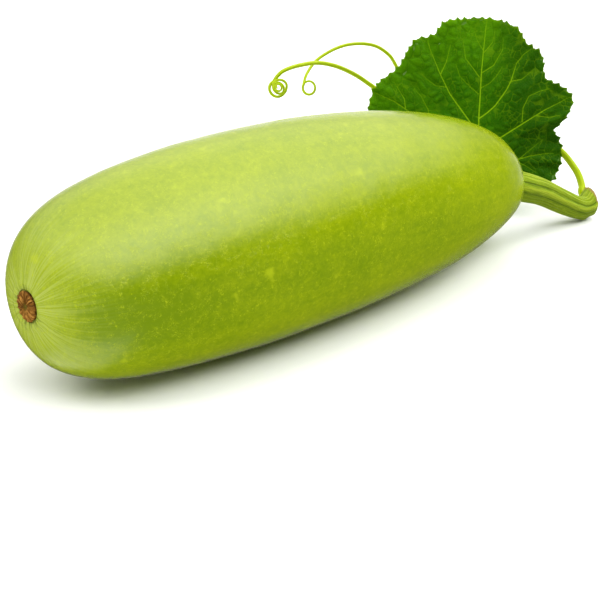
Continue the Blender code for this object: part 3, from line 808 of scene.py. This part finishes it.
def stem_surface(context, sides=280):
    """A ribbed tube: rings across the route whose radius is the stem's own plus its ribs, with a dished cut end."""
    settings = context.scene.gourd_stem
    seat, _ = stem_seat(context)
    path = smooth_path((tuple(seat - np.array((4 * GAP, 0, 0))), *STEM_ROUTE), STEM_STEP)
    run = np.linspace(0, 1, len(path))[:, None]
    ease = np.clip(run / 0.25, 0, 1)
    along = unit(ease * unit(np.gradient(path, axis=0)) + (1 - ease) * np.array((1.0, 0.0, 0.0)))
    side, top = travelling_frames(along)
    angle = ring_angles(sides)
    radius = np.interp(run[:, 0], np.linspace(0, 1, len(STEM_RADII)), STEM_RADII)[:, None]
    spokes = spokes_across(angle, side, top)
    around = round_and_along(angle, 1.2 * run)
    wander = 0.07 * lattice_noise(around * (1.2, 1.2, 2.0), 1.0, 21)
    ribs = rib_height(angle + wander)
    fine = 0.5 * np.cos(23 * angle + 5 * wander) + 0.5 * np.cos(37 * angle + 1.3)
    grain = lattice_noise(around * (6, 6, 3), 1.0, 22)
    fade = 0.55 + 0.45 * eased(run, 0.0, 0.12) - 0.35 * eased(run, 0.86, 1.0)
    relief = settings.rib * fade * (ribs - 0.25) + 0.00007 * fine * fade + 0.00016 * grain
    flare = 0.0006 * bell(run, 0.03)
    lowest = int(np.argmin(path[:, 2] - radius[:, 0]))
    swell = bell(np.arange(len(path)) - lowest, 8.0)[:, None]
    nub = NUB_HEIGHT * np.clip(-spokes[..., 2], 0, 1) ** 12 * swell
    rings = path[:, None, :] + (radius + relief + nub + flare)[..., None] * spokes
    cut = unit(np.array(CUT_NORMAL))
    slide = ((path[-1] - rings[-1]) @ cut) / (along[-1] @ cut)
    share_moved = eased(run, 0.90, 1.0)
    rings = rings + (share_moved * slide[None, :])[..., None] * along[-1]
    rim = np.array((1.0, 0.93, 0.84, 0.70, 0.5, 0.25))[:, None, None]
    dish = np.array((0.0, 0.00025, 0.0, 0.0006, 0.0009, 0.0010))[:, None, None]
    face = path[-1] + rim * (rings[-1] - path[-1]) - dish * cut
    face = face + (0.00025 * lattice_noise(face, 900, 23))[..., None] * cut * (rim < 0.9)
    rings = np.concatenate([rings, face[1:]])
    rings[..., 2] = np.maximum(rings[..., 2], GAP)
    pad = len(face) - 1
    run = np.concatenate([run, np.ones((pad, 1))])
    crest = np.concatenate([ribs, np.repeat(ribs[-1:], pad, axis=0)]) * np.ones_like(run)
    cutface = np.concatenate([np.zeros(len(path)), np.linspace(0.5, 1, pad)])[:, None] * np.ones_like(angle)
    channels = {
        "crest": crest,
        "around": round_and_along(angle, 0.5 * run),
        "end": np.broadcast_to(eased(run, 0.955, 1.0), crest.shape).copy(),
        "cutface": cutface,
    }
    return rings, path[0], path[-1] - 0.0010 * cut, channels


def stem_finish(settings):
    """Ribbed green: pale crests, painted shade in the grooves and on the lower front side, fine fibres along it,
    and a browned rim round the pale cut.
    """
    bark = Finish("stem_green", settings.roughness)
    around = bark.channel("around", "Vector")
    fibre = bark.noise(around, 11, 4.0, 0.62)
    thread = bark.noise(around, 21, 2.0, 0.5)
    speck = bark.between(bark.noise(bark.place, 700, 3.0, 0.6), 0.60, 0.72)
    # The rib heights set the colour: painted shade in the grooves and on the lower front side, pale crests on top.
    level = bark.plus(bark.channel("crest"), bark.times(bark.plus(fibre, -0.5), 1.9))
    green = bark.mix(bark.between(level, -1.1, 0.0), settings.groove, settings.flank)
    brown = bark.between(bark.plus(bark.channel("end"), bark.noise(bark.place, 350, 3.0)), 1.02, 1.5)
    green = bark.over(
        bark.mix(bark.between(level, 0.1, 1.1, 0.0, 0.9), green, settings.ridge),
        (settings.ridge, bark.between(thread, 0.53, 0.66), 0.35),
        (settings.groove, bark.between(thread, 0.47, 0.36), 0.45),
        (settings.ridge, speck, 0.35),
        (settings.rim, brown, 0.75),
    )
    wood = bark.mix(bark.noise(bark.place, 600, 3.0), settings.rim, CUT_WOOD)
    green = bark.mix(bark.between(bark.channel("cutface"), 0.45, 0.62), green, wood)
    bark.colour(green)
    bark.bump([(fibre, 0.00018), (thread, 0.00016), (speck, 0.00008)])
    bark.sheen(0.06, 0.5, (0.95, 1.0, 0.8))
    bark.gloss(0.12)
    return bark.material


class GOURD_OT_stem(bpy.types.Operator):
    """The ribbed stem, cut across at the vine's node"""

    bl_idname = "gourd.stem"
    bl_label = "Stem"

    def execute(self, context):
        material = stem_finish(context.scene.gourd_stem)
        build("gourd_stem", stem_surface(context), 50, material, "stem")
        return {"FINISHED"}


# ---- Leaf ----


def leaf_axes():
    """Right, up and forward of the leaf frame, as directions of the whole."""
    right = np.array((math.cos(LEAF_TURN), math.sin(LEAF_TURN), 0.0))
    level = np.array((math.sin(LEAF_TURN), -math.cos(LEAF_TURN), 0.0))
    forward = level * math.cos(LEAF_LEAN) + np.array((0, 0, math.sin(LEAF_LEAN)))
    return np.array((right, np.cross(forward, right), forward))


def from_leaf_frame(route):
    """Points of a route given in the leaf frame in millimetres."""
    return LEAF_BASE + np.asarray(route, float) / 1000 @ leaf_axes()


def leaf_reach(angle):
    """Distance from the base to the blade's edge: a smooth closed curve through the outline's points."""
    outline = np.array(LEAF_OUTLINE, float)
    degrees = np.concatenate([outline[:, 0] - 360, outline[:, 0], outline[:, 0] + 360])
    reach = np.tile(outline[:, 1], 3)
    slope = np.gradient(reach, degrees)
    at = np.degrees(angle)
    k = np.clip(np.searchsorted(degrees, at) - 1, 0, len(degrees) - 2)
    span = degrees[k + 1] - degrees[k]
    t = (at - degrees[k]) / span
    rise = reach[k] * (2 * t**3 - 3 * t**2 + 1) + reach[k + 1] * (3 * t**2 - 2 * t**3)
    bend = span * (slope[k] * (t**3 - 2 * t**2 + t) + slope[k + 1] * (t**3 - t**2))
    return (rise + bend) / 1000


def tooth_height(edge_run, settings):
    """Teeth along the edge: a cusp over each seeded place, lower between, with a small one in some of the gaps."""
    rng = np.random.default_rng(31)
    whole = edge_run[-1]
    count = int(whole / settings.pitch)
    places = (np.arange(count) + rng.uniform(-0.28, 0.28, count)) * whole / count
    heights = rng.uniform(0.45, 1.0, count)
    gaps = np.diff(np.append(places, places[0] + whole)) / 2
    total = np.zeros_like(edge_run)
    for place, height, after, before in zip(places, heights, gaps, np.roll(gaps, 1)):
        off = (edge_run - place + whole / 2) % whole - whole / 2
        reach = np.where(off > 0, after, before)
        total = np.maximum(total, height * np.clip(1 - np.abs(off) / reach, 0, 1) ** 1.35)
        small = (off - after) / (0.30 * after)
        total = np.maximum(total, 0.32 * height * np.clip(1 - np.abs(small), 0, 1) ** 1.2)
    return settings.tooth * total


def vein_distance(right, up):
    """Distance to the nearest vein's edge, and how strong that vein is, for points of the blade in millimetres."""
    nearest = np.full(right.shape, 99.0)
    strength = np.zeros(right.shape)
    for half_width, route in LEAF_VEINS:
        route = np.array(route)
        runs = run_along(route)
        for (x0, y0), (x1, y1), start, end in zip(route, route[1:], runs, runs[1:]):
            dx, dy = x1 - x0, y1 - y0
            t = np.clip(((right - x0) * dx + (up - y0) * dy) / (dx * dx + dy * dy), 0, 1)
            taper = 1 - 0.72 * (start + t * (end - start)) / runs[-1]
            away = np.hypot(right - x0 - t * dx, up - y0 - t * dy) - VEIN_EDGE * half_width * taper
            closer = away < nearest
            nearest = np.where(closer, away, nearest)
            strength = np.where(closer, half_width * taper, strength)
    return nearest, strength


def net_distance(right, up):
    """Distance to the edge between the nearest two of many seeded cells, in millimetres: the net of small veins."""
    rng = np.random.default_rng(41)
    seeds = rng.uniform(-1, 1, (NET_CELLS, 2)).astype(np.float32) * NET_HALF_SIZE
    points = np.stack([right.ravel(), up.ravel()], axis=1).astype(np.float32)
    first, second = np.empty(len(points)), np.empty(len(points))
    for start in range(0, len(points), NET_BLOCK):
        block = points[start : start + NET_BLOCK]
        away = np.hypot(*(block[:, None, :] - seeds[None]).transpose(2, 0, 1))
        two = np.partition(away, 1, axis=1)[:, :2]
        first[start : start + NET_BLOCK], second[start : start + NET_BLOCK] = two[:, 0], two[:, 1]
    return ((second - first) / 2).reshape(right.shape)


def leaf_relief(right, up):
    """How far the blade stands forward: its left side comes forward, its tip and lower lobes curl back."""
    lift = 0.010 * np.clip(-right / 0.065, 0, 1.2) ** 1.6
    curl = -0.006 * np.clip(up / 0.08, 0, 1.2) ** 2 - 0.004 * np.clip(-up / 0.04, 0, 1.2) ** 2
    roll = -0.004 * np.clip(right / 0.06, 0, 1.2) ** 2
    return lift + curl + roll


def leaf_surface(context, spokes=800, front_rings=108, back_rings=16):
    """The blade: spokes spaced evenly along its toothed edge, over a front and a back sheet that meet at the edge.

    The front rises between its veins and dips along them, the margin waves, and the lower right lobe folds back.
    """
    settings = context.scene.gourd_leaf
    fine = np.linspace(-math.pi, math.pi, 12001)
    reach = leaf_reach(fine)
    edge = np.stack([reach * np.sin(fine), reach * np.cos(fine)], axis=1)
    run = run_along(edge)
    even = np.linspace(0, run[-1], spokes, endpoint=False)
    angle = np.interp(even, run, fine)[None, :]
    teeth = np.interp(even, run, tooth_height(run, settings))[None, :] - 0.40 * settings.tooth
    reach = leaf_reach(angle)
    out = np.concatenate([np.linspace(0, 1, front_rings + 1)[1:] ** 0.9, np.linspace(1, 0, back_rings + 1)[1:-1]])
    out = out[:, None]
    distance = reach * out + teeth * out**9
    right, up = distance * np.sin(angle), distance * np.cos(angle)
    near, strength = vein_distance(right * 1000, up * 1000)
    net = net_distance(right * 1000, up * 1000)
    flat = np.stack([right, up, 0 * right], axis=-1)
    rise = 1 - np.exp(-((np.maximum(near, 0) / RISE_WIDTH) ** 1.5))
    quilt = 1 - bell(net, QUILT_WIDTH)
    puff = settings.puff * (rise + 1.10 * quilt * rise) - 0.0002 * bell(near, 0.8) * (strength > 0.3)
    margin = eased(out, 0.60, 1.0)
    ruffle = 0.0011 * margin * np.sin(angle * 17 + 1.2 * np.sin(3 * angle)) + 0.0006 * margin * np.sin(angle * 37 + 2)
    turn = np.degrees(angle)
    fold = -LOBE_FOLD * eased(turn, 66, 75) * eased(turn, 132, 92) * eased(distance, 0.018, 0.050)
    waves = 0.0016 * lattice_noise(flat, 38, 42) * eased(distance, 0.01, 0.04)
    front = np.arange(len(out))[:, None] < front_rings
    half = settings.thickness / 2 * (1 - 0.65 * out**6)
    offset = np.where(front, half, -half)
    offset[front_rings - 1] = 0.25 * half[front_rings - 1]
    height = leaf_relief(right, up) + puff + ruffle + fold + waves + offset
    ease_in = eased(distance, 0.001, 0.010)
    height = height * ease_in + (offset + leaf_relief(right, up)) * (1 - ease_in)
    height += np.where(front, 0, -0.0007 * bell(near, 0.7) * strength * ease_in)
    axes = leaf_axes()
    rings = LEAF_BASE + np.stack([right, up, height], axis=-1) @ axes
    start = LEAF_BASE + settings.thickness / 2 * axes[2]
    end = LEAF_BASE - settings.thickness / 2 * axes[2]
    channels = {
        "blade": flat,
        "vein_near": near,
        "vein_size": strength,
        "net_near": net,
        "edge_near": np.broadcast_to(out, near.shape).copy(),
        "underside": np.broadcast_to(np.where(front, 0.0, 1.0), near.shape).copy(),
        # Painted shade where the lower right lobe folds back and over the right half, which turn away from the light.
        "shade": np.maximum(-fold / LOBE_FOLD, 0.95 * eased(right, 0.002, 0.030)),
    }
    return rings, start, end, channels


def leaf_finish(settings):
    """Green blade: pale veins that thin outwards, a net of small veins, painted highlight on the bulges and painted
    shade in the creases between them, a lighter margin, painted shade on the right half and folded lobe, and a pale
    underside.
    """
    blade = Finish("leaf_green", settings.roughness)
    flat = blade.channel("blade", "Vector")
    to_vein, to_net, outwards = (blade.channel(name) for name in ("vein_near", "net_near", "edge_near"))
    patch = blade.noise(blade.place, 38, 3.0, 0.55)
    mottle = blade.noise(blade.place, 240, 4.0, 0.6)
    light = blade.plus(
        blade.times(blade.between(outwards, 0.45, 1.0), 0.45),
        blade.between(patch, 0.40, 0.68, -0.02, 0.32),
        blade.between(mottle, 0.38, 0.66, -0.03, 0.06),
        # Painted highlight on the bulges between the small veins, and painted shade in the creases along them.
        blade.between(to_net, 0.2, 1.3, -0.10, 0.20),
    )
    net = blade.between(to_net, 0.05, 0.34, 1.0, 0.0)
    broken = blade.between(blade.noise(flat, 90, 2.0), 0.35, 0.60)
    mesh = blade.between(blade.cells(flat, 560, "DISTANCE_TO_EDGE", True), 0.02, 0.16, 1.0, 0.0)
    thick = blade.between(blade.channel("vein_size"), 0.10, 0.75, 0.30, 0.95)
    vein = blade.times(blade.between(to_vein, 0.0, 0.30, 1.0, 0.0), thick)
    green = blade.over(
        blade.mix(light, settings.deep, settings.light),
        # Painted shade over the folded lobe and the right half.
        (LEAF_SHADE, blade.channel("shade"), 0.90),
        (settings.light, blade.between(to_vein, 0.3, 3.2, 1.0, 0.0), 0.12),
        (settings.vein, blade.times(net, broken), 0.22),
        (settings.vein, mesh, 0.04),
        (settings.vein, vein, 1.0),
        (settings.vein, blade.between(outwards, 0.975, 1.0), 0.35),
    )
    back = blade.mix(blade.maths("MAXIMUM", vein, blade.times(net, 0.6)), settings.back, settings.vein)
    blade.colour(blade.mix(blade.channel("underside"), green, back))
    blade.bump([(mottle, 0.0004), (mesh, -0.00012), (blade.noise(blade.place, 1100, 2.0), 0.00010)])
    blade.gloss(0.05, (0.90, 1.0, 0.40))
    return blade.material


class GOURD_OT_leaf(bpy.types.Operator):
    """The lobed and toothed leaf blade"""

    bl_idname = "gourd.leaf"
    bl_label = "Leaf blade"

    def execute(self, context):
        material = leaf_finish(context.scene.gourd_leaf)
        build("gourd_leaf", leaf_surface(context), 70, material, "leaf_blade")
        return {"FINISHED"}


# ---- Leaf stalk and tendrils ----


def coil_route(start, slant, rows):
    """Route points of a loose coil: ellipses whose centre and half axes change from row to row as it winds."""
    turns, centres, axes = (np.array(column, float) for column in zip(*rows))
    angle = np.arange(0, turns[-1] * 2 * math.pi, math.radians(12))
    at = angle / (2 * math.pi)
    centre = np.stack([np.interp(at, turns, centres[:, axis]) for axis in range(3)], axis=1)
    along, across = (np.interp(at, turns, axes[:, axis])[:, None] for axis in range(2))
    turned = (math.radians(start - slant) + angle)[:, None]
    slant = math.radians(slant)
    long_way = np.array((math.cos(slant), math.sin(slant), 0))
    short_way = np.array((-math.sin(slant), math.cos(slant), 0))
    return centre + along * np.cos(turned) * long_way + across * np.sin(turned) * short_way


def shoot_surface(path, base, taper, sides, ribs, foot):
    """A ribbed shoot along a path: the base's radius times the taper at each place, plus ribs, with a rounded tip.

    The foot is how much wider it is where it starts.
    """
    run = run_along(path)
    along = unit(np.gradient(path, axis=0))
    side, top = travelling_frames(along)
    angle = ring_angles(sides)
    done = (run / run[-1])[:, None]
    radius = base * np.interp(done, *zip(*taper)) + foot * bell(run[:, None], 0.003)
    last = base * taper[-1][1]
    left = run[-1] - run[:, None]
    tip = np.sqrt(np.clip(1 - (1 - left / last) ** 2 * (left < last), 0.03, 1))
    crest = np.cos(ribs * angle + 1.1) + 0.35 * np.cos((2 * ribs + 1) * angle)
    around = round_and_along(angle, 40 * run[:, None])
    uneven = lattice_noise(around * (1.5, 1.5, 1.0), 1.0, 51)
    thick = radius * tip * (1 + 0.022 * crest + 0.012 * uneven)
    spokes = spokes_across(angle, side, top)
    rings = path[:, None, :] + thick[..., None] * spokes
    channels = {"crest": crest * np.ones_like(done), "around": around}
    return rings, path[0], path[-1] + 0.1 * last * along[-1], channels


def shoot_finish(settings):
    """Smooth yellow-green shoot with paler ridges and fine threads along it."""
    shoot = Finish("shoot_green", settings.roughness)
    thread = shoot.noise(shoot.channel("around", "Vector"), 3.0, 3.0, 0.6)
    patch = shoot.noise(shoot.place, 130, 3.0)
    level = shoot.plus(shoot.times(shoot.channel("crest"), 0.25), thread)
    green = shoot.mix(shoot.between(level, 0.30, 0.95), settings.green, settings.ridge)
    green = shoot.mix(shoot.between(patch, 0.45, 0.75, 0.0, 0.35), green, settings.ridge)
    shoot.colour(green)
    shoot.bump([(thread, 0.00005), (shoot.noise(shoot.place, 1400, 2.0), 0.00005)])
    shoot.sheen(0.05, 0.4, (0.95, 1.0, 0.45))
    shoot.gloss(0.10)
    shoot.glow_through(0.6, 0.002, (1.0, 1.0, 0.15))
    return shoot.material


class GOURD_OT_shoots(bpy.types.Operator):
    """The leaf stalk and the two tendrils"""

    bl_idname = "gourd.shoots"
    bl_label = "Stalk and tendrils"

    def execute(self, context):
        settings = context.scene.gourd_shoots
        material = shoot_finish(settings)
        stalk = smooth_path(from_leaf_frame(STALK_ROUTE), STALK_STEP)
        taper = ((0, 1.0), (1, settings.stalk_tip))
        pieces = [("gourd_leaf_stalk", stalk, settings.stalk_base, taper, 64, 5, 0.0006, "leaf_stalk")]
        tendrils = (
            ("long_tendril", LONG_TENDRIL_ROUTE, LONG_COIL, settings.long_base, LONG_TAPER),
            ("short_tendril", SHORT_TENDRIL_ROUTE, SHORT_COIL, settings.short_base, SHORT_TAPER),
        )
        for name, route, coil, base, taper in tendrils:
            path = smooth_path(from_leaf_frame([*route, *coil_route(*coil)]), TENDRIL_STEP)
            pieces.append(("gourd_" + name, path, base, taper, 30, 4, 0.0, name))
        for name, *shape, node_name in pieces:
            build(name, shoot_surface(*shape), 60, material, node_name)
        return {"FINISHED"}


# ---- Stage ----


def direction(turn, rise):
    """The direction at a turn from the front towards the right, and a height angle, both in radians."""
    return Vector((math.sin(turn) * math.cos(rise), -math.cos(turn) * math.cos(rise), math.sin(rise)))


def add_far_light(name, turn, rise, width, strength):
    """An even light from far off, as wide as that angle in degrees. The gloss sees the sky's softbox instead."""
    lamp = bpy.data.lights.new(name, "SUN")
    lamp.energy, lamp.angle = strength, math.radians(width)
    obj = bpy.data.objects.new(name, lamp)
    obj.rotation_euler = direction(math.radians(turn), math.radians(rise)).to_track_quat("Z", "Y").to_euler()
    obj.visible_glossy = False
    bpy.context.scene.collection.objects.link(obj)


def studio_sky(settings):
    """A faint even sky, white to the camera, with a softbox that only gloss sees.

    The softbox brightens with height, most in front and least behind. Added to it are a patch below on the left, a
    band low behind, past the gourd from the camera, and a trace everywhere.
    """
    world = bpy.data.worlds.new("studio")
    world.use_nodes = True
    sky = Nodes(world.node_tree)
    towards = sky.add("ShaderNodeSeparateXYZ", {0: sky.add("ShaderNodeTexCoord").outputs["Generated"]}).outputs
    right, back, up = towards["X"], towards["Y"], towards["Z"]
    ahead, behind = sky.maths("MINIMUM", back, 0.0), sky.maths("MAXIMUM", back, 0.0)
    full = sky.plus(2.2, sky.times(ahead, -3.2), sky.times(behind, -1.3))
    above = sky.times(sky.between(sky.plus(up, sky.times(behind, 0.3)), 0.17, 0.80), full)
    below = sky.times(sky.between(up, -0.62, -0.85), sky.between(right, 0.05, -0.15))
    past = sky.between(sky.plus(right, back, sky.times(up, -0.6)), 1.15, 1.50, 0.0, 1.1)
    past = sky.times(past, sky.between(up, -0.45, -0.15, 0.1, 1.0))
    softbox = sky.times(sky.plus(above, below, past, 0.03), settings.softbox)
    ray = sky.add("ShaderNodeLightPath").outputs
    strength = sky.add("ShaderNodeMix", {0: ray["Is Glossy Ray"], 2: settings.sky, 3: softbox}).outputs[0]
    background = world.node_tree.nodes["Background"]
    background.inputs["Color"].default_value = (*settings.haze, 1.0)
    sky.tree.links.new(sky.maths("MAXIMUM", strength, ray["Is Camera Ray"]), background.inputs["Strength"])
    return world


def add_floor(settings):
    """A wide pale floor, just under the belly."""
    signs = ((-1, -1), (1, -1), (1, 1), (-1, 1))
    corners = [(x * FLOOR_HALF_SIDE, y * FLOOR_HALF_SIDE, -FLOOR_DROP) for x, y in signs]
    mesh = bpy.data.meshes.new("floor")
    mesh.from_pydata(corners, [], [(0, 1, 2, 3)])
    paper = Finish("floor_paper", 0.9)
    tone = paper.mix(paper.noise(paper.place, 3.0), [0.985 * c for c in settings.floor], tuple(settings.floor))
    seen = paper.add("ShaderNodeLightPath").outputs["Is Camera Ray"]
    paper.colour(paper.mix(seen, tuple(settings.bounce), tone))
    paper.gloss(0.05)
    mesh.materials.append(paper.material)
    floor = bpy.data.objects.new("floor", mesh)
    bpy.context.scene.collection.objects.link(floor)
    floor.visible_glossy = False


class GOURD_OT_stage(bpy.types.Operator):
    """The pale floor, the soft studio lights and the camera"""

    bl_idname = "gourd.stage"
    bl_label = "Stage"

    def execute(self, context):
        settings = context.scene.gourd_stage
        add_floor(settings)
        for name, turn, rise, width, strength in FAR_LIGHTS:
            add_far_light(name, turn, rise, width, settings.lights * strength)
        context.scene.world = studio_sky(settings)
        back = direction(settings.azimuth, settings.elevation)
        lens = bpy.data.cameras.new("camera")
        lens.angle = settings.view
        lens.clip_start = 0.01
        camera = bpy.data.objects.new("camera", lens)
        camera.location = Vector(CAMERA_TARGET) + settings.distance * back
        camera.rotation_euler = back.to_track_quat("Z", "Y").to_euler()
        context.scene.collection.objects.link(camera)
        context.scene.camera = camera
        context.scene.view_settings.view_transform = "Standard"
        return {"FINISHED"}


# ---- Sidebar and registration ----


SETTINGS = {
    "gourd_fruit": FruitSettings,
    "gourd_scar": ScarSettings,
    "gourd_stem": StemSettings,
    "gourd_leaf": LeafSettings,
    "gourd_shoots": ShootSettings,
    "gourd_stage": StageSettings,
}
OPERATORS = (GOURD_OT_fruit, GOURD_OT_scar, GOURD_OT_stem, GOURD_OT_leaf, GOURD_OT_shoots, GOURD_OT_stage)


class GOURD_PT_sidebar(bpy.types.Panel):
    """Lists the pieces of the gourd and their settings"""

    bl_idname = "GOURD_PT_sidebar"
    bl_label = "Bottle Gourd"
    bl_space_type = "VIEW_3D"
    bl_region_type = "UI"
    bl_category = "Gourd"

    def draw(self, context):
        for operator, group in zip(OPERATORS, SETTINGS):
            box = self.layout.box()
            box.operator(operator.bl_idname)
            settings = getattr(context.scene, group)
            for name in settings.__annotations__:
                box.prop(settings, name)


def register():
    for made in (*SETTINGS.values(), *OPERATORS, GOURD_PT_sidebar):
        bpy.utils.register_class(made)
    for name, group in SETTINGS.items():
        setattr(bpy.types.Scene, name, PointerProperty(type=group))


def unregister():
    for name in SETTINGS:
        delattr(bpy.types.Scene, name)
    for made in (GOURD_PT_sidebar, *OPERATORS, *SETTINGS.values()):
        bpy.utils.unregister_class(made)


def main():
    register()
    bpy.ops.gourd.fruit()
    bpy.ops.gourd.scar()
    bpy.ops.gourd.stem()
    bpy.ops.gourd.leaf()
    bpy.ops.gourd.shoots()
    bpy.ops.gourd.stage()


if __name__ == "__main__":
    main()
